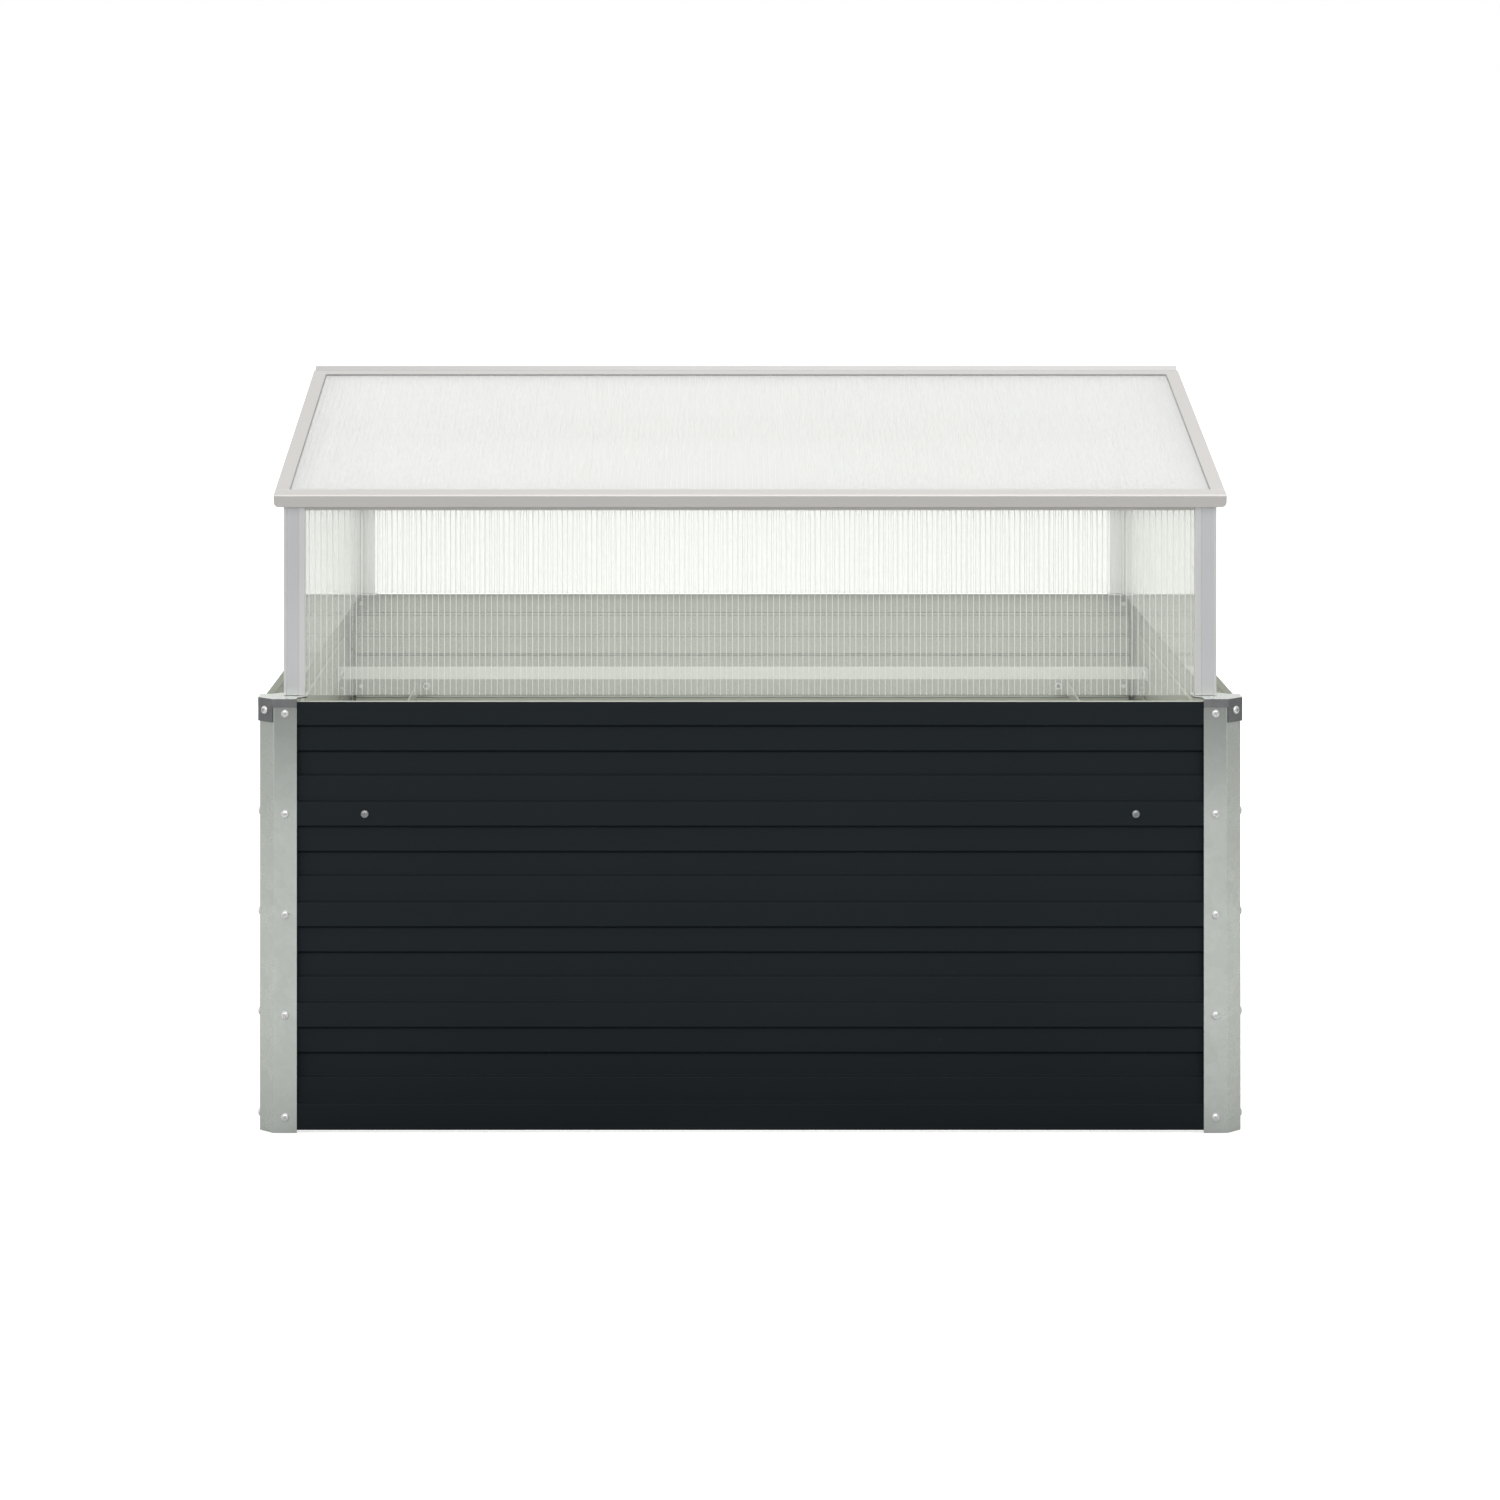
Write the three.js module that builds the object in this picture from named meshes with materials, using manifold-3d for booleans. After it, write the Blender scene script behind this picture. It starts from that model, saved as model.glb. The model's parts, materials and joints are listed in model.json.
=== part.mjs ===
// Cold frame: a square raised bed of ribbed sheet steel that carries a glazed top.
//
// The top has four walls of twin-wall sheet held in aluminium corner posts, and a low gable roof
// of two lids. Each lid hangs by a round bead in the ridge beam and swings up on its own, and
// each has a folding stay that props it open on the wall below.
//
// Units are millimetres, +Z is up. The origin is the middle of the footprint at ground level,
// and the front of the bed faces -Y. Front, right, rear and left repeat by quarter turns.

import * as THREE from 'three';
import { mergeVertices } from 'three/addons/utils/BufferGeometryUtils.js';
import Module from 'manifold-3d';

const wasm = await Module();
wasm.setup();

// ---------------------------------------------------------------- driving dimensions

const GAP = 0.3; // running gap left between touching pieces

// bed
const BED_HALF = 500; // half of the outer width, the same in both directions
const POST_HEIGHT = 439.4;
const POST_SHEET = 1.5;
const POST_CUT = 15; // how much of the square corner the slanted face takes off
const POST_REACH = 39; // corner to the free edge of each flange

const PANEL_HALF = 480;
const PANEL_BOTTOM = 2.5;
const PANEL_TOP = 437.9;
const PANEL_SHEET = 1;
const CREST_COUNT = 5;
const CREST_HEIGHT = 23.5; // the lowest crest runs on down to the bottom edge
const CREST_PITCH = 102.3;
const STEP_DEPTH = 4; // how far the flat beside each crest lies back
const GROOVE_DEPTH = 7.5; // how far the middle groove lies back
const RAMP = 2.5; // height of each sloping step
const LIP_DEPTH = 9; // inward fold along the top and bottom edges

const BRACKET_SHEET = 1.5;
const BRACKET_OFFSET = 0.3; // space between the bracket skirt and the post it hugs
const BRACKET_BAND = 8.5; // height of the skirt along the flanges
const BRACKET_SKIRT = 24; // height of the skirt on the slanted face
const BRACKET_INNER = 452; // inner edge of the plate that the glazed top stands on

const TIE_PLACE = 392; // distance of each tie bar from the middle
const TIE_HEIGHT = 15;
const TIE_SHEET = 2;
const TIE_TAB = 22; // length of the bent end that lies against the wall
const TIE_RAISE = 28; // how much higher the side-to-side bars run than the ones they cross

const SCREW_HEAD_RADIUS = 4.3;
const SCREW_HEAD_HEIGHT = 2.6;
const SCREW_RADIUS = 2.4;
const SCREW_HOLE_RADIUS = 2.8;

// glazed top
const FRAME_HALF = 476.5; // half of the outer width over the walls
const FRAME_ARM = 22;
const FRAME_THICK = 8.3;
const FRAME_TOP = 635.2;
const PANE = 4; // thickness of the twin-wall sheet
const SLOT = 4.6; // width of every groove that holds a pane
const SLOT_LIP = 1.6; // wall material outside that groove
const SLOT_DEPTH = 9;

const RAIL_BOTTOM = 631;
const RAIL_TOP = 635.4;
const RAIL_SHEET = 1.2;
const RAIL_INNER = 462; // inner edge of the eave rail's flange
const RAIL_TURNDOWN = 6;

const HINGE_Y = 12; // distance of each lid's axis from the middle
const HINGE_Z = 741;
const ROOF_PITCH = THREE.MathUtils.degToRad(11.9);
const RIDGE_TOP = 750;
const RIDGE_BOTTOM = 731;
const RIDGE_HALF = 485.5;
const RIDGE_CAP_HALF = 8;
const RIDGE_CROWN_HALF = 2.6;
const RIDGE_WEB_HALF = 1.2;
const BEAD_RADIUS = 3;
const CHANNEL_RADIUS = 3.4;
const CHANNEL_OUTER = 4.8;

const LID_HALF = 486;
const LID_REACH = 483.4; // hinge axis to the outer face of the eave bar, along the slope
const LID_TOP = 6; // lid surfaces above and below the hinge axis
const LID_BOTTOM = -7.2;
const LID_BAR = 14.5;
const LID_EAVE_BAR = 20;
const LID_TOP_BAR_START = 5.4;
const LID_TOP_BAR_END = 18.4;
const LID_SLOT_BOTTOM = 0.3;
const LID_SLOT_DEPTH = 7;
const EAVE_CORNER = 5; // rounding of the eave bar's lower ends

const GABLE_DROP = 0.4; // space between a closed lid and the rail below it
const GABLE_HEIGHT = 10;
const GABLE_SLOT_DEPTH = 5;

const STAY_REACH = 450; // hinge axis to the stay's pivot, along the slope
const STAY_LEVEL = -13;
const STAY_LENGTH = 260;
const STAY_WIDTH = 10;
const STAY_SHEET = 2.5;
const STAY_PLACE = 446.2; // distance of the stay's middle from the middle of the lid
const STAY_PIN_RADIUS = 2.5;

// ---------------------------------------------------------------- finishes

function finish(color, roughness, metalness) {
  return new THREE.MeshStandardMaterial({ color, roughness, metalness });
}

const finishes = {
  painted: finish(0x24282b, 0.45, 0.1),
  galvanised: finish(0xb6bbb5, 0.45, 0.9),
  bracket: finish(0x74787a, 0.5, 0.8),
  zinc: finish(0xd4d8d6, 0.3, 1),
  aluminium: finish(0xc4c5c1, 0.4, 0.9),
  pane: finish(0xf0f2ec, 0.3, 0),
};

// ---------------------------------------------------------------- shape helpers

function shapeOf(points) {
  return new THREE.Shape(points.map(([x, y]) => new THREE.Vector2(x, y)));
}

function extruded(shape, length) {
  return new THREE.ExtrudeGeometry(shape, { depth: length, bevelEnabled: false, curveSegments: 6 });
}

// An (x, y) outline standing from z0 to z1.
function prismZ(points, z0, z1) {
  return extruded(shapeOf(points), z1 - z0).translate(0, 0, z0);
}

// A (y, z) outline running from x0 to x1.
function prismX(points, x0, x1) {
  const turn = new THREE.Matrix4().set(0, 0, 1, x0, 1, 0, 0, 0, 0, 1, 0, 0, 0, 0, 0, 1);
  return extruded(shapeOf(points), x1 - x0).applyMatrix4(turn);
}

// An (x, z) outline running from y1 back to y0.
function prismY(points, y0, y1) {
  const turn = new THREE.Matrix4().set(1, 0, 0, 0, 0, 0, -1, y1, 0, 1, 0, 0, 0, 0, 0, 1);
  return extruded(shapeOf(points), y1 - y0).applyMatrix4(turn);
}

function box(x0, x1, y0, y1, z0, z1) {
  const geometry = new THREE.BoxGeometry(x1 - x0, y1 - y0, z1 - z0);
  return geometry.translate((x0 + x1) / 2, (y0 + y1) / 2, (z0 + z1) / 2);
}

function rodX(radius, x0, x1, y, z, sides = 16) {
  const geometry = new THREE.CylinderGeometry(radius, radius, x1 - x0, sides);
  return geometry.rotateZ(-Math.PI / 2).translate((x0 + x1) / 2, y, z);
}

function rodY(radius, y0, y1, x, z, sides = 16) {
  const geometry = new THREE.CylinderGeometry(radius, radius, y1 - y0, sides);
  return geometry.translate(x, (y0 + y1) / 2, z);
}

function arcPoints(cx, cy, radius, from, to, steps) {
  const points = [];
  for (let i = 0; i <= steps; i++) {
    const angle = THREE.MathUtils.degToRad(from + ((to - from) * i) / steps);
    points.push([cx + radius * Math.cos(angle), cy + radius * Math.sin(angle)]);
  }
  return points;
}

// ---------------------------------------------------------------- joining and cutting

function solidOf(geometry) {
  const bare = geometry.clone();
  bare.deleteAttribute('normal');
  bare.deleteAttribute('uv');
  const merged = mergeVertices(bare, 1e-4);
  return new wasm.Manifold(
    new wasm.Mesh({
      numProp: 3,
      vertProperties: new Float32Array(merged.attributes.position.array),
      triVerts: new Uint32Array(merged.index.array),
    }),
  );
}

function geometryOf(solid) {
  const mesh = solid.getMesh();
  const geometry = new THREE.BufferGeometry();
  geometry.setAttribute('position', new THREE.BufferAttribute(mesh.vertProperties, 3));
  geometry.setIndex(new THREE.BufferAttribute(mesh.triVerts, 1));
  geometry.computeVertexNormals();
  return geometry;
}

function joined(...geometries) {
  return geometryOf(geometries.map(solidOf).reduce((sum, solid) => sum.add(solid)));
}

function cut(geometry, ...cutters) {
  const start = solidOf(geometry);
  return geometryOf(cutters.map(solidOf).reduce((rest, solid) => rest.subtract(solid), start));
}

function common(first, second) {
  return geometryOf(solidOf(first).intersect(solidOf(second)));
}

// ---------------------------------------------------------------- the scene graph

const coldFrame = new THREE.Group();
coldFrame.name = 'cold_frame';

function addTo(group, name, geometry, material) {
  const mesh = new THREE.Mesh(geometry, material);
  mesh.name = name;
  group.add(mesh);
  return mesh;
}

// The four sides in order, each a quarter turn on from the front.
const sides = ['front', 'right', 'rear', 'left'].map((name, index) => {
  const group = new THREE.Group();
  group.rotation.z = (index * Math.PI) / 2;
  coldFrame.add(group);
  return { name, group, lengthwise: index % 2 === 1 };
});

// The corner at the left end of each side, seen from outside.
const cornerNames = ['front_left', 'front_right', 'rear_right', 'rear_left'];

// ---------------------------------------------------------------- bed

function crestTop(index) {
  return PANEL_TOP - (CREST_COUNT - 1 - index) * CREST_PITCH;
}

function crestFoot(index) {
  return index === 0 ? PANEL_BOTTOM : crestTop(index) - CREST_HEIGHT;
}

// Front-to-back bars meet the front and rear walls on a crest. Side-to-side bars pass over them
// and meet the side walls on the flat above that crest.
const TIE_CREST = crestTop(3) - CREST_HEIGHT / 2;
const tieOnCrest = { depth: 0, z: TIE_CREST };
const tieOnFlat = { depth: STEP_DEPTH, z: TIE_CREST + TIE_RAISE };
const PANEL_FACE = -BED_HALF + POST_SHEET + GAP;

// The sheet's outer surface from the bottom up, as [depth behind the crest, height].
function panelSurface() {
  const zone = (CREST_PITCH - CREST_HEIGHT) / 3;
  const surface = [];
  for (let i = 0; i < CREST_COUNT; i++) {
    const top = crestTop(i);
    surface.push([0, crestFoot(i)], [0, top]);
    if (i === CREST_COUNT - 1) {
      break;
    }
    surface.push([STEP_DEPTH, top + RAMP], [STEP_DEPTH, top + zone]);
    surface.push([GROOVE_DEPTH, top + zone + RAMP], [GROOVE_DEPTH, top + 2 * zone - RAMP]);
    surface.push([STEP_DEPTH, top + 2 * zone], [STEP_DEPTH, top + 3 * zone - RAMP]);
  }
  return surface;
}

function panelGeometry(tie) {
  const surface = panelSurface();
  const back = surface.slice(1, -1).map(([depth, z]) => [depth + PANEL_SHEET, z]);
  const lowFold = [
    [LIP_DEPTH, PANEL_BOTTOM],
    [LIP_DEPTH, PANEL_BOTTOM + PANEL_SHEET],
    [PANEL_SHEET, PANEL_BOTTOM + PANEL_SHEET],
  ];
  const highFold = [
    [LIP_DEPTH, PANEL_TOP],
    [LIP_DEPTH, PANEL_TOP - PANEL_SHEET],
    [PANEL_SHEET, PANEL_TOP - PANEL_SHEET],
  ];
  const outline = [...surface, ...highFold, ...back.reverse(), ...lowFold.reverse()];
  const placed = outline.map(([depth, z]) => [PANEL_FACE + depth, z]);
  const skin = PANEL_FACE + tie.depth;
  const holes = [-TIE_PLACE, TIE_PLACE].map((x) =>
    rodY(SCREW_HOLE_RADIUS, skin - 1, skin + PANEL_SHEET + 1, x, tie.z),
  );
  return cut(prismX(placed, -PANEL_HALF, PANEL_HALF), ...holes);
}

// The line round the outside of a corner, offset outwards, and the same line one sheet further in.
function cornerBand(offset, sheet, reach) {
  const slope = Math.SQRT2 - 1;
  const line = (shift) => {
    const face = BED_HALF + shift;
    const start = BED_HALF - POST_CUT + shift * slope;
    return [
      [-reach, -face],
      [-start, -face],
      [-face, -start],
      [-face, -reach],
    ];
  };
  return [...line(offset + sheet), ...line(offset).reverse()];
}

const PLATE_BOTTOM = POST_HEIGHT + GAP;
const PLATE_TOP = PLATE_BOTTOM + BRACKET_SHEET;
const BRACKET_SCREW_Z = PLATE_TOP - BRACKET_SKIRT / 2;

// The drill that goes square through the slanted face of a corner.
function cornerDrill() {
  const length = 12;
  const middle = BED_HALF - POST_CUT / 2;
  const drill = new THREE.CylinderGeometry(SCREW_HOLE_RADIUS, SCREW_HOLE_RADIUS, length, 16);
  return drill.rotateZ(-Math.PI / 4).translate(-middle, -middle, 0).translate(0, 0, BRACKET_SCREW_Z);
}

function cornerPostGeometry() {
  const band = cornerBand(-POST_SHEET, POST_SHEET, BED_HALF - POST_REACH);
  return cut(prismZ(band, 0, POST_HEIGHT), cornerDrill());
}

// A plate that closes the top of a corner, with a skirt round the outside and a longer one in front.
function bracketGeometry() {
  const reach = BED_HALF - POST_REACH;
  const rimWidth = 10;
  const notch = 29;
  const band = cornerBand(BRACKET_OFFSET, BRACKET_SHEET, reach);
  const plate = [
    ...band.slice(0, 4),
    [-BED_HALF + rimWidth, -reach],
    [-BRACKET_INNER - notch, -BRACKET_INNER],
    [-BRACKET_INNER, -BRACKET_INNER],
    [-BRACKET_INNER, -BRACKET_INNER - notch],
    [-reach, -BED_HALF + rimWidth],
  ];
  const skirt = [band[1], band[2], band[5], band[6]];
  const folded = joined(
    prismZ(plate, PLATE_BOTTOM, PLATE_TOP),
    prismZ(band, PLATE_TOP - BRACKET_BAND, PLATE_TOP),
    prismZ(skirt, PLATE_TOP - BRACKET_SKIRT, PLATE_TOP),
  );
  return cut(folded, cornerDrill());
}

// A screw along +Y with the underside of its head at y = 0 and its shank running to y = length.
function screwGeometry(length) {
  const profile = [
    new THREE.Vector2(0, -SCREW_HEAD_HEIGHT),
    new THREE.Vector2(SCREW_HEAD_RADIUS * 0.55, -SCREW_HEAD_HEIGHT * 0.92),
    new THREE.Vector2(SCREW_HEAD_RADIUS * 0.88, -SCREW_HEAD_HEIGHT * 0.55),
    new THREE.Vector2(SCREW_HEAD_RADIUS, 0),
    new THREE.Vector2(SCREW_RADIUS, 0),
    new THREE.Vector2(SCREW_RADIUS, length),
    new THREE.Vector2(0, length),
  ];
  return new THREE.LatheGeometry(profile, 16);
}

// A flat strip on edge between two opposite walls, its ends bent to lie against them.
function tieBarGeometry(tie) {
  const end = -PANEL_FACE - PANEL_SHEET - tie.depth - GAP;
  const low = tie.z - TIE_HEIGHT / 2;
  const high = tie.z + TIE_HEIGHT / 2;
  const run = box(-end, end, 0, TIE_SHEET, low, high);
  const leftTab = box(-end, -end + TIE_SHEET, 0, TIE_TAB, low, high);
  const rightTab = box(end - TIE_SHEET, end, 0, TIE_TAB, low, high);
  const drill = rodX(SCREW_HOLE_RADIUS, -end - 1, end + 1, TIE_TAB / 2, tie.z);
  return cut(joined(run, leftTab, rightTab), drill);
}

function buildBed() {
  const crestPanel = panelGeometry(tieOnCrest);
  const flatPanel = panelGeometry(tieOnFlat);
  const crestBar = tieBarGeometry(tieOnCrest);
  const flatBar = tieBarGeometry(tieOnFlat);
  const post = cornerPostGeometry();
  const bracket = bracketGeometry();
  const wallScrew = screwGeometry(PANEL_SHEET + TIE_SHEET + 6);
  const bracketScrew = screwGeometry(BRACKET_SHEET + POST_SHEET + 6);
  const faceToMiddle = (BED_HALF - POST_CUT / 2) * Math.SQRT2;

  sides.forEach(({ name, group, lengthwise }, index) => {
    const tie = lengthwise ? tieOnFlat : tieOnCrest;
    addTo(group, `${name}_wall_panel`, lengthwise ? flatPanel : crestPanel, finishes.painted);
    addTo(group, `${cornerNames[index]}_corner_post`, post, finishes.galvanised);
    addTo(group, `${cornerNames[index]}_bracket`, bracket, finishes.bracket);

    for (const [end, place] of [['left', -TIE_PLACE], ['right', TIE_PLACE]]) {
      const screw = addTo(group, `${name}_tie_screw_${end}`, wallScrew, finishes.zinc);
      screw.position.set(place, PANEL_FACE + tie.depth - GAP, tie.z);
    }

    const screw = addTo(group, `${cornerNames[index]}_bracket_screw`, bracketScrew, finishes.zinc);
    const out = faceToMiddle + BRACKET_OFFSET + BRACKET_SHEET + GAP;
    screw.position.set(-out * Math.SQRT1_2, -out * Math.SQRT1_2, BRACKET_SCREW_Z);
    screw.rotation.z = -Math.PI / 4;

    const strip = lengthwise ? crestBar : flatBar;
    const bar = addTo(group, `${name}_tie_bar`, strip, finishes.galvanised);
    bar.position.y = -TIE_PLACE - TIE_TAB / 2;
  });
}

// ---------------------------------------------------------------- glazed walls

// A corner extrusion: two arms with a glazing groove each, and a shallow flute down each face.
function framePostGeometry() {
  const fluteFrom = 3;
  const fluteTo = 15.5;
  const flute = 1;
  const bottom = FRAME_ARM - SLOT_DEPTH;
  const arm = [
    [0, 0],
    [fluteFrom, 0],
    [fluteFrom, flute],
    [fluteTo, flute],
    [fluteTo, 0],
    [FRAME_ARM, 0],
    [FRAME_ARM, SLOT_LIP],
    [bottom, SLOT_LIP],
    [bottom, SLOT_LIP + SLOT],
    [FRAME_ARM, SLOT_LIP + SLOT],
    [FRAME_ARM, FRAME_THICK],
    [FRAME_THICK, FRAME_THICK],
  ];
  const mirrored = arm.slice(1, -1).map(([a, b]) => [b, a]);
  const outline = [...arm, ...mirrored.reverse()];
  const placed = outline.map(([x, y]) => [x - FRAME_HALF, y - FRAME_HALF]);
  return prismZ(placed, PLATE_TOP + GAP, FRAME_TOP);
}

const WALL_FACE = -FRAME_HALF + SLOT_LIP + (SLOT - PANE) / 2;
const WALL_PANE_HALF = FRAME_HALF - (FRAME_ARM - SLOT_DEPTH) - 0.5;
const PANE_BOTTOM = PLATE_TOP + GAP;
const GABLE_TOP = LID_BOTTOM - GABLE_DROP;

// Height of a line parallel to the roof, `level` above the hinge axis, at distance y from the middle.
function roofLine(level, y) {
  return HINGE_Z - (y - HINGE_Y) * Math.tan(ROOF_PITCH) + level / Math.cos(ROOF_PITCH);
}

function eavePaneGeometry() {
  const top = RAIL_TOP - RAIL_SHEET - GAP;
  return box(-WALL_PANE_HALF, WALL_PANE_HALF, WALL_FACE, WALL_FACE + PANE, PANE_BOTTOM, top);
}

function gablePaneGeometry() {
  const level = GABLE_TOP - GABLE_HEIGHT + GABLE_SLOT_DEPTH - GAP;
  const apex = RIDGE_WEB_HALF + 3;
  const half = [
    [apex, roofLine(level, apex)],
    [WALL_PANE_HALF, roofLine(level, WALL_PANE_HALF)],
    [WALL_PANE_HALF, PANE_BOTTOM],
  ];
  const outline = [...half, ...half.map(([x, z]) => [-x, z]).reverse()];
  return prismY(outline, WALL_FACE, WALL_FACE + PANE);
}

// A glazing channel open downwards, with a flange that reaches into the frame.
function eaveRailGeometry() {
  const face = -FRAME_HALF + GAP;
  const slotFrom = -FRAME_HALF + SLOT_LIP;
  const slotTo = slotFrom + SLOT;
  const web = RAIL_TOP - RAIL_SHEET;
  const outline = [
    [face, RAIL_BOTTOM],
    [slotFrom, RAIL_BOTTOM],
    [slotFrom, web],
    [slotTo, web],
    [slotTo, RAIL_BOTTOM],
    [slotTo + RAIL_SHEET, RAIL_BOTTOM],
    [slotTo + RAIL_SHEET, web],
    [-RAIL_INNER - RAIL_SHEET, web],
    [-RAIL_INNER - RAIL_SHEET, RAIL_TOP - RAIL_TURNDOWN],
    [-RAIL_INNER, RAIL_TOP - RAIL_TURNDOWN],
    [-RAIL_INNER, RAIL_TOP],
    [face, RAIL_TOP],
  ];
  const half = FRAME_HALF - FRAME_ARM - GAP;
  return prismX(outline, -half, half);
}

// A sloping rail over half of a gable, in the lid's own axes: y runs down the slope as -y.
function gableRailGeometry() {
  const outer = FRAME_HALF;
  const inner = FRAME_HALF - FRAME_THICK;
  const slotOuter = FRAME_HALF - SLOT_LIP;
  const slotInner = slotOuter - SLOT;
  const low = GABLE_TOP - GABLE_HEIGHT;
  const roof = low + GABLE_SLOT_DEPTH;
  const outline = [
    [outer, low],
    [outer, GABLE_TOP],
    [inner, GABLE_TOP],
    [inner, low],
    [slotInner, low],
    [slotInner, roof],
    [slotOuter, roof],
    [slotOuter, low],
  ];
  const lower = (FRAME_HALF - FRAME_ARM - 2.5 - HINGE_Y) / Math.cos(ROOF_PITCH);
  const upper = (HINGE_Y - RIDGE_WEB_HALF - 5) / Math.cos(ROOF_PITCH);
  return prismY(outline, -lower, upper);
}

// ---------------------------------------------------------------- ridge beam

// A cap with sloping sides on a web, with a bead channel along each side that opens outwards.
function ridgeGeometry() {
  const capLow = HINGE_Z + 3;
  const right = [
    [RIDGE_CROWN_HALF, RIDGE_TOP],
    [RIDGE_CAP_HALF, capLow + 1],
    [RIDGE_CAP_HALF, capLow],
    [RIDGE_WEB_HALF, capLow],
    [RIDGE_WEB_HALF, RIDGE_BOTTOM],
  ];
  const outline = [...right, ...right.map(([y, z]) => [-y, z]).reverse()];
  const web = prismX(outline, -RIDGE_HALF, RIDGE_HALF);
  const channels = [1, -1].map((side) => {
    const outerArc = arcPoints(0, 0, CHANNEL_OUTER, 64, 332, 20);
    const innerArc = arcPoints(0, 0, CHANNEL_RADIUS, 332, 64, 20);
    const ring = [...outerArc, ...innerArc].map(([y, z]) => [side * (HINGE_Y + y), HINGE_Z + z]);
    return prismX(ring, -RIDGE_HALF, RIDGE_HALF);
  });
  const neckFrom = HINGE_Y - CHANNEL_OUTER + 0.8;
  const neck = box(-RIDGE_HALF, RIDGE_HALF, -neckFrom, neckFrom, HINGE_Z - 1.5, HINGE_Z + 3.5);
  return joined(web, neck, ...channels);
}

// ---------------------------------------------------------------- lids

// Lid pieces share one set of axes: the origin is on the hinge axis, -y runs down the slope
// and +z stands square to it.

const LID_SLOT_TOP = LID_SLOT_BOTTOM + SLOT;
const EAVE_INNER = LID_REACH - LID_EAVE_BAR;

function lidTopBarGeometry() {
  const armHalf = 0.9;
  const slotFrom = LID_TOP_BAR_END - LID_SLOT_DEPTH;
  const body = [
    [-LID_TOP_BAR_START, LID_BOTTOM],
    [-LID_TOP_BAR_START, LID_TOP],
    [-LID_TOP_BAR_END, LID_TOP],
    [-LID_TOP_BAR_END, LID_SLOT_TOP],
    [-slotFrom, LID_SLOT_TOP],
    [-slotFrom, LID_SLOT_BOTTOM],
    [-LID_TOP_BAR_END, LID_SLOT_BOTTOM],
    [-LID_TOP_BAR_END, LID_BOTTOM],
  ];
  return joined(
    prismX(body, -LID_HALF, LID_HALF),
    box(-LID_HALF, LID_HALF, -LID_TOP_BAR_START - 1, -BEAD_RADIUS + 1, -armHalf, armHalf),
    rodX(BEAD_RADIUS, -LID_HALF, LID_HALF, 0, 0),
  );
}

function lidEaveBarGeometry() {
  const slotTo = EAVE_INNER + LID_SLOT_DEPTH;
  const edge = 2;
  const profile = [
    [-EAVE_INNER, LID_BOTTOM],
    [-LID_REACH, LID_BOTTOM],
    ...arcPoints(-LID_REACH + edge, LID_TOP - edge, edge, 180, 90, 4),
    [-EAVE_INNER, LID_TOP],
    [-EAVE_INNER, LID_SLOT_TOP],
    [-slotTo, LID_SLOT_TOP],
    [-slotTo, LID_SLOT_BOTTOM],
    [-EAVE_INNER, LID_SLOT_BOTTOM],
  ];
  const corner = arcPoints(LID_HALF - EAVE_CORNER, LID_BOTTOM + EAVE_CORNER, EAVE_CORNER, 0, -90, 6);
  const half = [[LID_HALF, LID_TOP + 1], ...corner];
  const face = [...half, ...half.map(([x, z]) => [-x, z]).reverse()];
  const blank = prismX(profile, -LID_HALF, LID_HALF);
  return common(blank, prismY(face, -LID_REACH - 1, -EAVE_INNER + 1));
}

function lidSideBarGeometry() {
  const inner = LID_HALF - LID_BAR;
  const slotTo = inner + LID_SLOT_DEPTH;
  const outline = [
    [inner, LID_BOTTOM],
    [LID_HALF, LID_BOTTOM],
    [LID_HALF, LID_TOP],
    [inner, LID_TOP],
    [inner, LID_SLOT_TOP],
    [slotTo, LID_SLOT_TOP],
    [slotTo, LID_SLOT_BOTTOM],
    [inner, LID_SLOT_BOTTOM],
  ];
  return prismY(outline, -EAVE_INNER + GAP, -LID_TOP_BAR_END - GAP);
}

function lidPaneGeometry() {
  const half = LID_HALF - LID_BAR + LID_SLOT_DEPTH - 0.5;
  const upper = LID_TOP_BAR_END - LID_SLOT_DEPTH + 0.5;
  const lower = EAVE_INNER + LID_SLOT_DEPTH - 0.5;
  const low = LID_SLOT_BOTTOM + (SLOT - PANE) / 2;
  return box(-half, half, -lower, -upper, low, low + PANE);
}

const STAY_INNER = STAY_PLACE - STAY_SHEET / 2;
const STAY_OUTER = STAY_PLACE + STAY_SHEET / 2;

// A flat strip with round ends, hung on its pin. It lies up the slope when folded.
function stayGeometry() {
  const half = STAY_WIDTH / 2;
  const outline = [
    ...arcPoints(-STAY_REACH, STAY_LEVEL, half, 90, 270, 8),
    ...arcPoints(-STAY_REACH + STAY_LENGTH, STAY_LEVEL, half, -90, 90, 8),
  ];
  const strip = prismX(outline, -STAY_OUTER, -STAY_INNER);
  const bore = STAY_PIN_RADIUS + GAP;
  return cut(strip, rodX(bore, -STAY_OUTER - 1, -STAY_INNER + 1, -STAY_REACH, STAY_LEVEL));
}

// A foot on the inside of the eave bar, an ear beside the stay and the headed pin it swings on.
function stayBracketGeometry() {
  const ear = 2;
  const footTop = -0.8;
  const footLow = -6.5;
  const footFace = EAVE_INNER - GAP;
  const foot = 1.6;
  const earFrom = -STAY_OUTER - GAP - ear;
  const earTo = -STAY_OUTER - GAP;
  const outline = [
    [-footFace, footTop],
    [-footFace, footLow],
    [-STAY_REACH - 6, footLow],
    ...arcPoints(-STAY_REACH, STAY_LEVEL, 6, 180, 360, 8),
    [-STAY_REACH + 6, footTop],
  ];
  const headFrom = -STAY_INNER + GAP;
  return joined(
    prismX(outline, earFrom, earTo),
    box(earFrom - 14, earTo, -footFace, -footFace + foot, footLow, footTop),
    rodX(STAY_PIN_RADIUS, earTo - 1, headFrom + 1, -STAY_REACH, STAY_LEVEL),
    rodX(STAY_PIN_RADIUS + 2, headFrom, headFrom + 2, -STAY_REACH, STAY_LEVEL),
  );
}

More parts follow.
